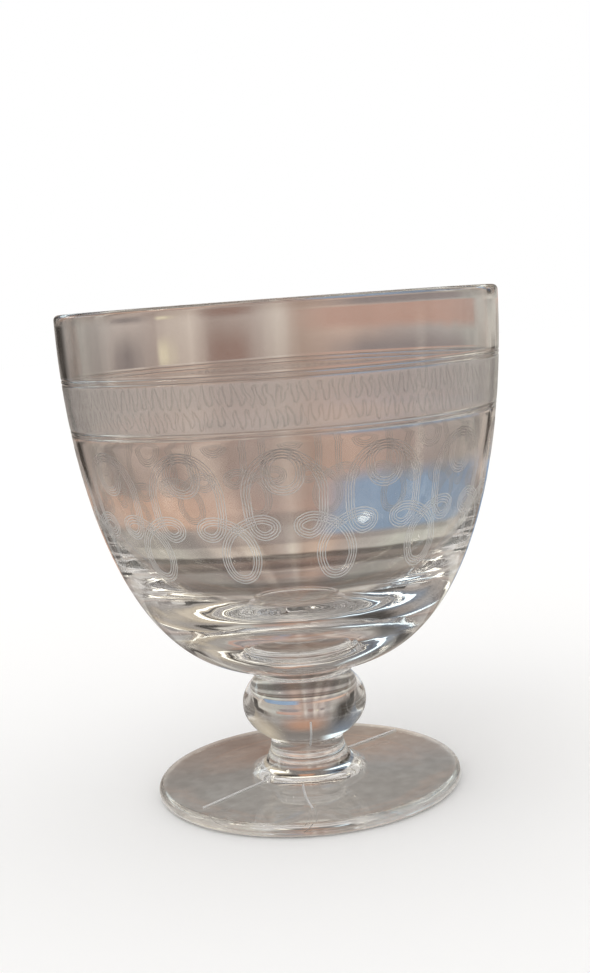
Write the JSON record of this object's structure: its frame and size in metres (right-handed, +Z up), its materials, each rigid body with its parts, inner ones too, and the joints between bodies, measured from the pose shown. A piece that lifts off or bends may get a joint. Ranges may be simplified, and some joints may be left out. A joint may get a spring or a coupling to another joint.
{
  "type": "stemmed glass",
  "caption": "Footed drinking glass with a deep rounded bowl on a short ball-knopped stem and a round foot, clear with fine etched rings and loops.",
  "frame": {"origin": "centre of the foot's standing ring, on the table", "axes": "+Z up along the axis that the glass is turned about; X and Y are alike"},
  "size_m": [0.088, 0.088, 0.1],
  "materials": {
    "bowl_glass": "clear blown glass, fire-polished, with fine etched lines",
    "stem_glass": "clear solid glass, polished",
    "foot_glass": "clear pressed glass with faint mould seams"
  },
  "bodies": {
    "root": {"bowl": "bowl_glass", "upper_collar": "stem_glass", "knop": "stem_glass", "neck": "stem_glass", "foot": "foot_glass"}
  },
  "joints": []
}
